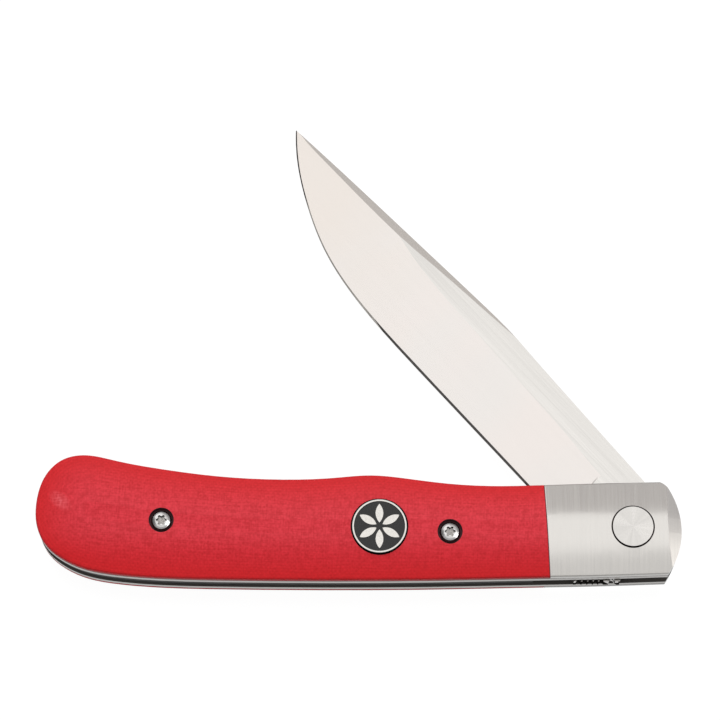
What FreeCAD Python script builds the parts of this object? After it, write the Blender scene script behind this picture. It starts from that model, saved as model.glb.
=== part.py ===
import FreeCAD, Part
import math
import os
import re

import Sketcher

# A folding knife, lying on its rear side. The pivot axis is the Z axis, the butt points along -X,
# the blade slot faces +Y, and the rear crown rests on the plane Z = 0.

# Driving dimensions in millimetres, angles in degrees
SIZES = {
    # handle
    "handle_length": 105.0,
    "nose_reach": 8.0,
    "handle_depth": 17.0,
    "bolster_reach": 13.9,
    "joint_lean": 2.8,
    "joint_gap": 0.06,
    "rear_joint_step": 0.6,
    "facet_inset": 2.3,
    "facet_angle": 36.0,
    # layers, from the blade outwards
    "blade_thick": 2.5,
    "washer_thick": 0.15,
    "run_clear": 0.03,
    "fit_clear": 0.03,
    "liner_thick": 1.5,
    "cover_edge": 1.4,
    "edge_round": 0.5,
    "foot_break": 0.25,
    "crown_rise": 1.15,
    # blade
    "blade_depth": 15.68,
    "edge_margin": 1.37,
    "tip_room": 8.05,
    "heel_reach": 13.0,
    "ricasso_step": 0.5,
    "tab_reach": 12.55,
    "tab_wall": 1.57,
    "groove_radius": 0.36,
    "edge_land": 0.4,
    "edge_width": 0.4,
    "edge_tip": 0.06,
    "rest_angle": 132.0,
    "closed_angle": 176.0,
    "tab_tip_angle": 88.8,
    "tab_root_angle": 124.3,
    # stop pin, pivot and washers
    "stop_angle": 285.0,
    "pivot_head_thick": 1.5,
    "pivot_head_sink": 0.05,
    "pivot_proud": 0.15,
    "pivot_ring_gap": 0.22,
    "barrel_short": 0.1,
    "washer_margin": 0.25,
    # backspacer
    "edge_room": 0.6,
    "spacer_gap": 2.75,
    "spacer_sink": 0.3,
    # lock bar in the rear liner
    "lock_slot": 0.8,
    "relief_depth": 0.7,
    "relief_length": 4.0,
    "ball_radius": 0.75,
    # domed screws of the scales
    "dome_radius": 1.65,
    "dome_height": 1.0,
    "dome_shank_radius": 0.9,
    "dome_seat": 1.45,
    "dome_bore_gap": 0.37,
    "tip_short": 0.1,
    # flat screws of the frame and of the bolsters
    "flat_radius": 1.5,
    "flat_height": 0.8,
    "flat_shank_radius": 0.8,
    "flat_sink": 0.05,
    "bolster_bite": 1.1,
    # six-lobed driver recess
    "driver_radius": 0.66,
    "driver_lobe": 0.22,
    "driver_depth": 0.6,
    # badge
    "badge_radius": 4.48,
    "badge_gap": 0.18,
    "badge_thick": 1.2,
    "badge_rim": 0.38,
    "badge_sink": 0.35,
    "badge_proud": 0.15,
    "enamel_thick": 0.22,
}

# Sums of sizes that several pieces share; faces are measured from the middle of the blade
DERIVED = {
    "butt_reach": "handle_length - nose_reach",
    "half_depth": "handle_depth / 2",
    "half_gap": "blade_thick / 2 + washer_thick + run_clear",
    "liner_face": "half_gap + liner_thick",
    "edge_face": "liner_face + cover_edge",
    "land_face": "edge_face + crown_rise",
    "edge_drop": "half_depth - edge_margin",
    "spine_rise": "blade_depth - edge_drop",
    "blade_reach": "butt_reach - tip_room",
    "stop_orbit": "half_depth * 0.66",
    "stop_radius": "half_depth * 0.13",
    "hook_radius": "stop_orbit + stop_radius * 1.14",
    "pivot_radius": "half_depth * 0.265",
    "pivot_head_radius": "pivot_radius * 1.455",
    "pivot_thread_radius": "pivot_radius * 0.62",
    "tang_radius": "stop_orbit - stop_radius - run_clear",
    "washer_radius": "tang_radius - washer_margin",
    "pivot_seat": "land_face - pivot_head_sink - pivot_head_thick",
    "barrel_length": "pivot_seat * 2 - barrel_short",
    "spacer_front": "tab_reach + spacer_gap",
    "overrun": "handle_depth",
}

# Handle outline from above the nose, over the top and round the butt, to below the nose.
# Shares of the reach on that side of the pivot, and of half the depth
rim_shares = [
    (1.5, 0.941), (0.5, 0.915), (-0.052, 0.889), (-0.144, 0.857), (-0.217, 0.837), (-0.313, 0.891),
    (-0.381, 0.991), (-0.44, 1.049), (-0.5, 1.0), (-0.591, 0.967), (-0.692, 1.027), (-0.793, 1.177),
    (-0.871, 1.347), (-0.922, 1.45), (-0.959, 1.353), (-0.986, 1.047), (-1.0, 0.541), (-0.998, 0.035),
    (-0.983, -0.312), (-0.959, -0.555), (-0.923, -0.757), (-0.866, -0.891), (-0.791, -0.961), (-0.69, -0.993),
    (-0.516, -1.01), (-0.34, -0.999), (-0.165, -0.96), (-0.056, -0.936), (0.5, -0.9), (1.5, -0.869),
]
spacer_first_share = -0.165
spacer_last_share = -0.959

# Nose outline: a rounded top corner, the end arc and the back corner
nose_shares = [(0.3, 0.955), (0.62, 0.885), (0.735, 0.79), (1.0, -0.06), (0.73, -0.858), (0.64, -1.0)]

# Crown of the covers: its middle line bends up to a focus in the butt, and its rings close in on it
focus_shares = (-0.905, 0.33)
bend_start_share = -0.55
ring_shares = [0.95, 0.78, 0.61, 0.44, 0.28, 0.14]
land_share = ring_shares[-1]
crown_power = 1.5
# Rounding of the covers' edge, as rings and shares of its height, and the broken edge at their foot
edge_shares = [(1.0, 1.0), (0.992, 0.5), (0.975, 0.16), (0.95, 0.0)]
foot_share = 0.985

# Blade outline: shares of the blade's reach, with the spine in shares of its rise above the pivot
# and the belly in shares of the way from the straight edge to the tip
spine_shares = [
    (0.113, 0.886), (0.273, 0.938), (0.354, 0.967), (0.436, 1.0), (0.523, 0.974), (0.701, 0.883),
    (0.883, 0.775),
]
tip_share = 0.689
belly_shares = [
    (0.968, 0.811), (0.913, 0.565), (0.853, 0.36), (0.789, 0.193), (0.717, 0.083), (0.64, 0.026),
    (0.558, 0.004),
]
straight_share = 0.474
shoulder_share = 0.866
tab_foot_share = 0.42

# Thickness that the grind and the swedge would have at the spine, in shares of the blade's thickness;
# the grind's third share is of the edge bevel's width
grind_shares = [
    (0.122, 1.455, 1.0), (0.2, 1.411, 1.0), (0.34, 1.388, 1.0), (0.434, 1.376, 1.0), (0.513, 1.339, 1.0),
    (0.595, 1.281, 0.9), (0.674, 1.18, 0.7), (0.717, 1.11, 0.6), (0.789, 1.02, 0.55), (0.853, 0.89, 0.5),
    (0.913, 0.72, 0.5), (0.968, 0.48, 0.5), (1.0, 0.3, 0.5), (1.03, 0.3, 0.5),
]
plunge_lean_share = 0.5
swedge_shares = [
    (0.4, 1.08), (0.434, 0.9), (0.474, 0.76), (0.554, 0.62), (0.634, 0.45), (0.715, 0.31), (0.85, 0.28),
    (0.95, 0.26), (1.03, 0.22),
]
swedge_slope_share = 0.58

# Places on the handle, in shares of the reach to the butt (or of the bolster's) and of half the depth
tail_screw_shares = (-0.789, 0.128)
middle_screw_shares = (-0.306, -0.095)
badge_shares = (-0.424, 0.005)
frame_screw_shares = [(-0.6, -0.66), (-0.925, 0.35)]
bolster_screw_shares = [(-0.68, -0.565), (0.3, 0.635)]
lock_root_share = -0.52
lock_end_share = -0.405
lock_low_share = 0.106
relief_share = -0.49
ball_shares = (-0.54, 0.53)
ball_proud_share = 0.8

# Badge motif: six petals, in shares of the field's radius
petal_count = 6
petal_shares = (0.14, 0.9)
petal_width_share = 0.3
bore_depth_share = 0.75
thread_length_share = 0.62
frame_bite_share = 0.9
# Thumb grooves: shares of the way from the tab's tip to its root, and of the grooves' radius
groove_shares = [(0.107, 1.0), (0.239, 1.0), (0.363, 1.0), (0.48, 1.0), (0.597, 1.0), (0.827, 1.4)]
dome_shares = [(1.0, 0.4), (0.86, 0.74), (0.6, 0.95)]

nodes = []
doc = FreeCAD.newDocument("folding_knife")
sheet = doc.addObject("Spreadsheet::Sheet", "Sizes")
for row, (alias, number) in enumerate(SIZES.items(), start=1):
    sheet.set(f"A{row}", alias)
    sheet.set(f"B{row}", str(number))
    sheet.setAlias(f"B{row}", alias)
doc.recompute()


def formula(words):
    # The sheet expression of a sum written in the names of sizes
    def spell(match):
        word = match.group()
        if word in DERIVED:
            return f"({formula(DERIVED[word])})"
        return f"Sizes.{word}" if word in SIZES else word
    return re.sub(r"[a-z][a-z_]*", spell, words)


def value(words):
    return float(sheet.evalExpression(formula(words)))


def bind(thing, **rules):
    for name, words in rules.items():
        thing.setExpression(name, formula(words))


def place(thing, x="0", y="0", z="0"):
    for axis, words in (("x", x), ("y", y), ("z", z)):
        thing.setExpression(f".Placement.Base.{axis}", formula(words))


def level(side, words):
    # Height of a face that lies so far in front of (side 1) or behind (side -1) the middle of the blade
    return f"land_face + ({words})" if side > 0 else f"land_face - ({words})"


def keep(thing, label):
    thing.Label = label
    nodes.append(thing)
    return thing


def spot(shares, reach="butt_reach"):
    # Place on the handle as two formulas; what lies past the pivot is measured on the nose
    across, up = shares
    along = "nose_reach" if across > 0 and reach == "butt_reach" else reach
    return f"{along} * {across}", f"half_depth * {up}"


def wire_feature(name, edges):
    thing = doc.addObject("Part::Feature", name)
    thing.Shape = Part.Wire(Part.__sortEdges__(edges))
    return thing


def line(start, end):
    return Part.LineSegment(start, end).toShape()


def polygon(points):
    return [line(a, b) for a, b in zip(points, points[1:] + points[:1])]


def curve_through(points, stations=None):
    curve = Part.BSplineCurve()
    if stations:
        curve.interpolate(Points=points, Parameters=stations)
    else:
        curve.interpolate(Points=points)
    return curve


def height_at(curve, x):
    # Y of a curve that runs steadily along X
    low, high = curve.FirstParameter, curve.LastParameter
    rising = curve.value(high).x > curve.value(low).x
    for step in range(60):
        middle = (low + high) / 2
        if (curve.value(middle).x < x) == rising:
            low = middle
        else:
            high = middle
    return curve.value(middle).y


def extrusion(name, base, low, length):
    thing = doc.addObject("Part::Extrusion", name)
    thing.Base = base
    thing.DirMode = "Custom"
    thing.Dir = FreeCAD.Vector(0, 0, 1)
    thing.Solid = True
    bind(thing, LengthFwd=length)
    place(thing, z=low)
    return thing


def rod(name, radius, length, x="0", y="0", z="0"):
    thing = doc.addObject("Part::Cylinder", name)
    bind(thing, Radius=radius, Height=length)
    place(thing, x, y, z)
    return thing


def cone(name, low_radius, high_radius, length, x, y, z):
    thing = doc.addObject("Part::Cone", name)
    bind(thing, Radius1=low_radius, Radius2=high_radius, Height=length)
    place(thing, x, y, z)
    return thing


def block(name, length, width, height, x, y, z):
    thing = doc.addObject("Part::Box", name)
    bind(thing, Length=length, Width=width, Height=height)
    place(thing, x, y, z)
    return thing


def fused(name, things):
    thing = doc.addObject("Part::MultiFuse", name)
    thing.Shapes = things
    return thing


def common(name, base, tool):
    thing = doc.addObject("Part::Common", name)
    thing.Base = base
    thing.Tool = tool
    return thing


def cut(name, base, tools):
    thing = doc.addObject("Part::Cut", name)
    thing.Base = base
    thing.Tool = tools[0] if len(tools) == 1 else fused(f"{name}_tools", tools)
    return thing


def sketch_in(body, name, role, height=None):
    sketch = body.newObject("Sketcher::SketchObject", name)
    plane = next(feature for feature in body.Origin.OriginFeatures if feature.Role == role)
    sketch.AttachmentSupport = [(plane, "")]
    sketch.MapMode = "FlatFace"
    if height:
        sketch.setExpression(".AttachmentOffset.Base.z", formula(height))
    return sketch


def fix_point(sketch, index, point, across, up):
    # Ties a point of the sketch to two formulas, with a zero kept on the axis
    for kind, words, axis in (("DistanceX", across, -2), ("DistanceY", up, -1)):
        if words == "0":
            sketch.addConstraint(Sketcher.Constraint("PointOnObject", index, point, axis))
        else:
            rule = sketch.addConstraint(Sketcher.Constraint(kind, -1, 1, index, point, value(words)))
            sketch.setExpression(f"Constraints[{rule}]", formula(words))


def turned(name, corners):
    # A body revolved about Z from corners given as radius and height
    body = doc.addObject("PartDesign::Body", name)
    sketch = sketch_in(body, f"{name}_profile", "XZ_Plane")
    points = [FreeCAD.Vector(value(across), value(up), 0) for across, up in corners]
    count = len(points)
    for index in range(count):
        sketch.addGeometry(Part.LineSegment(points[index], points[(index + 1) % count]), False)
    for index in range(count):
        sketch.addConstraint(Sketcher.Constraint("Coincident", index, 2, (index + 1) % count, 1))
    for index, (across, up) in enumerate(corners):
        fix_point(sketch, index, 1, across, up)
    turn = body.newObject("PartDesign::Revolution", f"{name}_turn")
    turn.Profile = sketch
    turn.ReferenceAxis = (sketch, ["V_Axis"])
    turn.Angle = 360
    return body


def drive(body, top):
    # Six-lobed recess sunk from the given height: a round core and a ring of lobes
    name = body.Name
    pockets = []
    for part, across, radius in (("core", "0", "driver_radius"), ("lobe", "driver_radius", "driver_lobe")):
        sketch = sketch_in(body, f"{name}_{part}_circle", "XY_Plane", top)
        centre = FreeCAD.Vector(value(across), 0, 0)
        sketch.addGeometry(Part.Circle(centre, FreeCAD.Vector(0, 0, 1), value(radius)), False)
        fix_point(sketch, 0, 3, across, "0")
        rule = sketch.addConstraint(Sketcher.Constraint("Radius", 0, value(radius)))
        sketch.setExpression(f"Constraints[{rule}]", formula(radius))
        pocket = body.newObject("PartDesign::Pocket", f"{name}_{part}")
        pocket.Profile = sketch
        bind(pocket, Length="driver_depth")
        pockets.append(pocket)
    lobes = body.newObject("PartDesign::PolarPattern", f"{name}_lobes")
    lobes.Originals = [pockets[1]]
    lobes.Axis = (pockets[1].Profile[0], ["N_Axis"])
    lobes.Angle = 360
    lobes.Occurrences = 6
    body.Tip = lobes


def seat(body, side, x, y, height):
    # Stands a turned body on a face of the front, or turned over on the same face of the rear
    turn = FreeCAD.Rotation(FreeCAD.Vector(1, 0, 0), 0 if side > 0 else 180)
    body.Placement = FreeCAD.Placement(FreeCAD.Vector(0, 0, 0), turn)
    place(body, x, y, level(side, height))


def span(side, low, high):
    # Lowest height and length of a cut between two faces on one side of the blade
    start = low if side > 0 else high
    return level(side, start), f"({high}) - ({low})"


def side_name(side):
    return "front" if side > 0 else "rear"


def rim_points():
    points = []
    for across, up in rim_shares:
        x, y = spot((across, up))
        points.append(FreeCAD.Vector(value(x), value(y), 0))
    return points


def core_of(point):
    # Point of the crown's middle line that a rim point closes in on
    focus_x, focus_y = (value(words) for words in spot(focus_shares))
    start_x = value("butt_reach") * bend_start_share
    if point.x < focus_x:
        return FreeCAD.Vector(focus_x, focus_y, 0)
    bend = max(0.0, (point.x - start_x) / (focus_x - start_x))
    return FreeCAD.Vector(point.x, focus_y * bend ** 2, 0)


def chord_stations(points):
    stations = [0.0]
    for a, b in zip(points, points[1:]):
        stations.append(stations[-1] + a.distanceToPoint(b))
    return [station / stations[-1] for station in stations]


def ring_feature(name, share):
    # Handle outline drawn in to a share of its way from the middle line
    rim = rim_points()
    points = [core_of(point) + (point - core_of(point)) * share for point in rim]
    curve = curve_through(points, chord_stations(rim))
    return wire_feature(name, [curve.toShape(), line(points[-1], points[0])])


def nose_cutter():
    # Everything past the nose outline, through all layers
    top, round_top, corner, nose, back_corner, back = (
        FreeCAD.Vector(value(f"nose_reach * {across}"), value(f"half_depth * {up}"), 0)
        for across, up in nose_shares
    )
    far = value("nose_reach + overrun")
    far_back = FreeCAD.Vector(far, back.y, 0)
    far_top = FreeCAD.Vector(far, top.y, 0)
    corner_arc = Part.Arc(top, round_top, corner).toShape()
    nose_arc = Part.Arc(corner, nose, back_corner).toShape()
    rest = [line(back_corner, back), line(back, far_back), line(far_back, far_top), line(far_top, top)]
    outline = wire_feature("nose_outline", [corner_arc, nose_arc] + rest)
    return extrusion("nose_cutter", outline, "-overrun", "land_face * 2 + overrun * 2")


def stop_place():
    return "stop_orbit * cos(stop_angle)", "stop_orbit * sin(stop_angle)"


def flat_hole(name, side, x, y, mouth, tip, outward):
    # Countersunk hole from a mouth face to a tip face; outward when its head faces away from the blade
    head = "flat_radius + fit_clear + (flat_radius - flat_shank_radius) * flat_sink / flat_height"
    shank = "flat_shank_radius + fit_clear"
    sink = "flat_height + flat_sink"
    inner, outer = (tip, mouth) if outward else (mouth, tip)
    low, length = span(side, inner, outer)
    bore = rod(f"{name}_bore", shank, length, x, y, low)
    edge = (f"{mouth} - ({sink})", mouth) if outward else (mouth, f"{mouth} + {sink}")
    low, length = span(side, *edge)
    widens_up = (side > 0) == outward
    radii = (shank, head) if widens_up else (head, shank)
    return [bore, cone(f"{name}_sink", *radii, length, x, y, low)]


def liner(side, rim, nose):
    name = f"{side_name(side)}_liner"
    low, length = span(side, "half_gap", "liner_face")
    plate = extrusion(f"{name}_plate", rim, low, length)
    stop_x, stop_y = stop_place()
    tools = [
        nose,
        rod(f"{name}_pivot_bore", "pivot_radius + fit_clear", length, "0", "0", low),
        rod(f"{name}_stop_bore", "stop_radius + fit_clear", length, stop_x, stop_y, low),
    ]
    for place_name, shares in (("tail", tail_screw_shares), ("middle", middle_screw_shares)):
        x, y = spot(shares)
        tools.append(rod(f"{name}_{place_name}_bore", "dome_shank_radius + fit_clear", length, x, y, low))
    for number, shares in enumerate(frame_screw_shares, start=1):
        x, y = spot(shares)
        tools += flat_hole(f"{name}_frame_{number}", side, x, y, "liner_face", "half_gap", True)
    for number, shares in enumerate(bolster_screw_shares, start=1):
        x, y = spot(shares, "bolster_reach")
        tools += flat_hole(f"{name}_bolster_{number}", side, x, y, "half_gap", "liner_face", False)
    if side < 0:
        tools += lock_cuts(name, low, length)
    return keep(cut(name, plate, tools), name)


def lock_cuts(name, low, length):
    # Slots that free the lock bar, the thinned root where it bends, and the hole of its detent ball
    root = f"butt_reach * {lock_root_share}"
    end = f"bolster_reach * {lock_end_share}"
    start_y = f"half_depth * {lock_low_share}"
    ball_x, ball_y = spot(ball_shares, "bolster_reach")
    return [
        block(f"{name}_long_slot", f"{end} - ({root}) + lock_slot", "lock_slot", length, root, start_y, low),
        block(f"{name}_end_slot", "lock_slot", "overrun", length, end, start_y, low),
        block(f"{name}_relief", "relief_length", "overrun", "relief_depth", f"butt_reach * {relief_share}",
              f"{start_y} + lock_slot", low),
        rod(f"{name}_ball_bore", "ball_radius + fit_clear", length, ball_x, ball_y, low),
    ]


def ring_loft(name, side, rings, ruled):
    # Loft through rings given as a share and a height from the middle of the blade
    sections = []
    for number, (share, height) in enumerate(rings):
        ring = ring_feature(f"{name}_ring_{number}", share)
        place(ring, z=level(side, height))
        sections.append(ring)
    thing = doc.addObject("Part::Loft", name)
    thing.Sections = sections
    thing.Solid = True
    thing.Ruled = ruled
    return thing


def crown_height(share):
    fall = ((share - land_share) / (ring_shares[0] - land_share)) ** crown_power
    return f"land_face - crown_rise * {fall}"


def joint_zone(name, reach):
    # Everything from the leaning joint forwards
    zone = block(name, "handle_length", "overrun * 2", "land_face * 2 + overrun", "0", "0", "0")
    zone.Placement.Rotation = FreeCAD.Rotation(FreeCAD.Vector(0, 0, 1), value("joint_lean"))
    place(zone, f"overrun * sin(joint_lean) - ({reach}) * cos(joint_lean)",
          f"-overrun * cos(joint_lean) - ({reach}) * sin(joint_lean)", "-overrun / 2")
    return zone


def covers(side, rim, nose):
    # The crowned half of the handle, parted into scale and bolster by a leaning joint
    name = side_name(side)
    foot = [(foot_share, "liner_face"), (1.0, "liner_face + foot_break")]
    low, length = span(side, "liner_face + foot_break", "edge_face - edge_round")
    edge = [(share, f"edge_face - edge_round * {fall}") for share, fall in edge_shares]
    crown = [(share, crown_height(share)) for share in ring_shares]
    half = fused(f"{name}_half", [
        ring_loft(f"{name}_foot", side, foot, True),
        extrusion(f"{name}_wall", rim, low, length),
        ring_loft(f"{name}_edge", side, edge, True),
        ring_loft(f"{name}_crown", side, crown, False),
    ])
    joint = "bolster_reach" if side > 0 else "bolster_reach + rear_joint_step"
    scale(side, half, joint_zone(f"{name}_scale_zone", f"{joint} + joint_gap"))
    bolster(side, half, joint_zone(f"{name}_bolster_zone", joint), nose)


def scale(side, half, zone):
    name = f"{side_name(side)}_scale"
    tools = [zone]
    for place_name, shares in (("tail", tail_screw_shares), ("middle", middle_screw_shares)):
        x, y = spot(shares)
        low, length = span(side, "liner_face - fit_clear", "land_face + overrun")
        tools.append(rod(f"{name}_{place_name}_hole", "dome_shank_radius + fit_clear", length, x, y, low))
        low, length = span(side, "liner_face + dome_seat", "land_face + overrun")
        tools.append(rod(f"{name}_{place_name}_bore", "dome_radius + dome_bore_gap", length, x, y, low))
    if side > 0:
        x, y = spot(badge_shares)
        low, length = span(side, "land_face + badge_proud - badge_thick", "land_face + overrun")
        tools.append(rod(f"{name}_badge_seat", "badge_radius + badge_gap", length, x, y, low))
    return keep(cut(name, half, tools), name)


def facet_cutter(side):
    # What is shaved off the nose: the crown's own profile, slid down along the facet's slope
    name = side_name(side)
    start_x = value("nose_reach - facet_inset")
    top = value("land_face")
    edge = value("half_depth")
    land = edge * land_share
    drop = value("crown_rise")
    half_drop = drop * 0.5 ** crown_power
    back = value("overrun")
    slope = math.tan(math.radians(value("facet_angle")))
    ceiling = top + back
    middle = (land + edge) / 2
    profile = [
        (-edge, ceiling), (-edge, top - drop), (-middle, top - half_drop), (-land, top),
        (land, top), (middle, top - half_drop), (edge, top - drop), (edge, ceiling),
    ]
    lift = back * slope
    points = [FreeCAD.Vector(start_x - back, y, value("land_face") + side * (height + lift))
              for y, height in profile]
    edges = [
        line(points[0], points[1]), Part.Arc(points[1], points[2], points[3]).toShape(),
        line(points[3], points[4]), Part.Arc(points[4], points[5], points[6]).toShape(),
        line(points[6], points[7]), line(points[7], points[0]),
    ]
    outline = wire_feature(f"{name}_facet_profile", edges)
    thing = doc.addObject("Part::Extrusion", f"{name}_facet_cutter")
    thing.Base = outline
    thing.DirMode = "Custom"
    thing.Dir = FreeCAD.Vector(1, 0, -side * slope)
    thing.Solid = True
    thing.Placement.Rotation = FreeCAD.Rotation(FreeCAD.Vector(0, 0, 1), value("joint_lean"))
    bind(thing, LengthFwd="overrun * 2")
    return thing


def bolster(side, half, zone, nose):
    name = f"{side_name(side)}_bolster"
    block_of_steel = common(f"{name}_block", half, zone)
    tools = [nose, facet_cutter(side)]
    low, length = span(side, "liner_face - fit_clear", "land_face + overrun")
    tools.append(rod(f"{name}_pivot_hole", "pivot_radius + fit_clear", length, "0", "0", low))
    low, length = span(side, "pivot_seat", "land_face + overrun")
    tools.append(rod(f"{name}_pivot_bore", "pivot_head_radius + pivot_ring_gap", length, "0", "0", low))
    for number, shares in enumerate(bolster_screw_shares, start=1):
        x, y = spot(shares, "bolster_reach")
        low, length = span(side, "liner_face - fit_clear", "liner_face + bolster_bite + fit_clear")
        tools.append(rod(f"{name}_hole_{number}", "flat_shank_radius + fit_clear", length, x, y, low))
    return keep(cut(name, block_of_steel, tools), name)


def pivot():
    thread = "pivot_thread_radius + fit_clear"
    depth = f"barrel_length * {bore_depth_share}"
    top = "barrel_length + pivot_head_thick + pivot_proud"
    barrel = turned("pivot_barrel", [
        (thread, "0"), ("pivot_radius", "0"), ("pivot_radius", "barrel_length"),
        ("pivot_head_radius", "barrel_length"), ("pivot_head_radius", top), ("0", top), ("0", depth),
        (thread, depth),
    ])
    place(barrel, z="land_face + pivot_seat - (barrel_length)")
    keep(barrel, "pivot_barrel")
    length = f"barrel_length * {thread_length_share}"
    screw = turned("pivot_screw", [
        ("0", "0"), ("pivot_thread_radius", "0"), ("pivot_thread_radius", length),
        ("pivot_head_radius", length), ("pivot_head_radius", f"{length} + pivot_head_thick"),
        ("0", f"{length} + pivot_head_thick"),
    ])
    drive(screw, f"{length} + pivot_head_thick")
    seat(screw, -1, "0", "0", f"pivot_seat - {length}")
    keep(screw, "pivot_screw")


def washers():
    hole = "pivot_radius + run_clear"
    for side in (1, -1):
        ring = turned(f"{side_name(side)}_washer", [
            (hole, "0"), ("washer_radius", "0"), ("washer_radius", "washer_thick"), (hole, "washer_thick"),
        ])
        seat(ring, side, "0", "0", "half_gap - washer_thick")
        keep(ring, f"{side_name(side)}_washer")


def stop_pin():
    x, y = stop_place()
    length = "(liner_face - fit_clear) * 2"
    pin = rod("stop_pin", "stop_radius", length, x, y, "land_face - liner_face + fit_clear")
    keep(pin, "stop_pin")


def detent_ball():
    x, y = spot(ball_shares, "bolster_reach")
    ball = doc.addObject("Part::Sphere", "detent_ball")
    bind(ball, Radius="ball_radius")
    place(ball, x, y, level(-1, f"half_gap - washer_thick * {ball_proud_share} + ball_radius"))
    keep(ball, "detent_ball")


def dome_screws():
    length = "dome_seat + liner_thick - tip_short"
    crown = [(f"dome_radius * {across}", f"{length} + dome_height * {up}") for across, up in dome_shares]
    flat = f"dome_radius * {dome_shares[-1][0]}"
    top = f"{length} + dome_height"
    for side in (1, -1):
        for place_name, shares in (("tail", tail_screw_shares), ("middle", middle_screw_shares)):
            name = f"{side_name(side)}_{place_name}_screw"
            screw = turned(name, [
                ("0", "0"), ("dome_shank_radius", "0"), ("dome_shank_radius", length), ("dome_radius", length),
                *crown, (f"{flat} * 0.8", top), ("0", top),
            ])
            drive(screw, top)
            x, y = spot(shares)
            seat(screw, side, x, y, f"liner_face + dome_seat - ({length})")
            keep(screw, name)


def flat_screw(name, length):
    # Countersunk screw, standing on its tip
    screw = turned(name, [
        ("0", "0"), ("flat_shank_radius", "0"), ("flat_shank_radius", f"{length} - flat_height"),
        ("flat_radius", length), ("0", length),
    ])
    drive(screw, length)
    return screw


def flat_screws():
    frame_length = f"liner_thick - flat_sink + half_gap * {frame_bite_share}"
    bolster_length = "liner_thick - flat_sink + bolster_bite"
    for side in (1, -1):
        for number, shares in enumerate(frame_screw_shares, start=1):
            name = f"{side_name(side)}_frame_screw_{number}"
            x, y = spot(shares)
            screw = flat_screw(name, frame_length)
            seat(screw, side, x, y, f"liner_face - flat_sink - ({frame_length})")
            keep(screw, name)
        for number, shares in enumerate(bolster_screw_shares, start=1):
            name = f"{side_name(side)}_bolster_screw_{number}"
            x, y = spot(shares, "bolster_reach")
            screw = flat_screw(name, bolster_length)
            seat(screw, -side, x, y, f"-(half_gap + flat_sink + {bolster_length})")
            keep(screw, name)


def petal(name, grow):
    # Leaf between two arcs, lying along X
    field = value("badge_radius - badge_rim")
    inner, outer = (field * share for share in petal_shares)
    width = field * petal_width_share / 2 + grow
    start = FreeCAD.Vector(inner - grow, 0, 0)
    end = FreeCAD.Vector(outer + grow, 0, 0)
    middle = (inner + outer) / 2
    arcs = [Part.Arc(start, FreeCAD.Vector(middle, side * width, 0), end).toShape() for side in (1, -1)]
    return wire_feature(name, arcs)


def petals(name, grow, height, length):
    leaves = []
    x, y = spot(badge_shares)
    for number in range(petal_count):
        outline = petal(f"{name}_outline_{number}", grow)
        leaf = extrusion(f"{name}_{number}", outline, height, length)
        turn = FreeCAD.Rotation(FreeCAD.Vector(0, 0, 1), 360 * (number + 0.5) / petal_count)
        leaf.Placement.Rotation = turn
        place(leaf, x, y, height)
        leaves.append(leaf)
    return leaves


def badge():
    x, y = spot(badge_shares)
    inner = "badge_radius - badge_rim"
    field = "badge_thick - badge_sink"
    base = level(1, "land_face + badge_proud - badge_thick")
    disc = turned("badge_disc", [
        ("0", "0"), ("badge_radius", "0"), ("badge_radius", "badge_thick"), (inner, "badge_thick"),
        (inner, field), ("0", field),
    ])
    place(disc, x, y, base)
    leaves = petals("petal", 0, f"{base} + {field} - fit_clear", "badge_sink")
    keep(fused("badge", [disc] + leaves), "badge")
    sheet_height = f"{base} + {field}"
    film = rod("enamel_film", f"{inner} - fit_clear", "enamel_thick", x, y, sheet_height)
    gaps = petals("petal_gap", value("fit_clear"), f"{sheet_height} - fit_clear", "badge_sink")
    keep(cut("badge_enamel", film, gaps), "badge_enamel")


def polar(angle, radius):
    return FreeCAD.Vector(radius * math.cos(math.radians(angle)), radius * math.sin(math.radians(angle)), 0)


def tip_point():
    return FreeCAD.Vector(value("blade_reach"), -value("spine_rise") * tip_share, 0)


def spine_curve():
    # The blade's own frame has the tip along X and the edge side along +Y
    reach = value("blade_reach")
    rise = value("spine_rise")
    foot = stop_shoulders()[1]
    points = [polar(foot, shoulder_share * rise / abs(math.sin(math.radians(foot))))]
    points += [FreeCAD.Vector(reach * across, -rise * up, 0) for across, up in spine_shares]
    return curve_through(points + [tip_point()])


def edge_points():
    # Belly from the tip to where the edge becomes straight
    reach = value("blade_reach")
    drop = value("edge_drop")
    tip = tip_point()
    climb = drop - tip.y
    belly = [FreeCAD.Vector(reach * across, drop - climb * up, 0) for across, up in belly_shares]
    return [tip] + belly + [FreeCAD.Vector(reach * straight_share, drop, 0)]


def stop_shoulders():
    # Angles on the tang of its closed and open shoulders, which meet the stop pin
    half_width = math.degrees(math.asin(value("(stop_radius + run_clear) / stop_orbit")))
    closed = value("stop_angle - closed_angle") - half_width
    opened = value("stop_angle") + half_width
    return closed, opened


def tab_ends():
    # Tip of the flipper tab, and its root, which stands a wall's width outside the stop pin's path
    tip = polar(value("tab_tip_angle"), value("tab_reach"))
    root = polar(value("tab_root_angle"), value("hook_radius + tab_wall"))
    return tip, root


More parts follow.
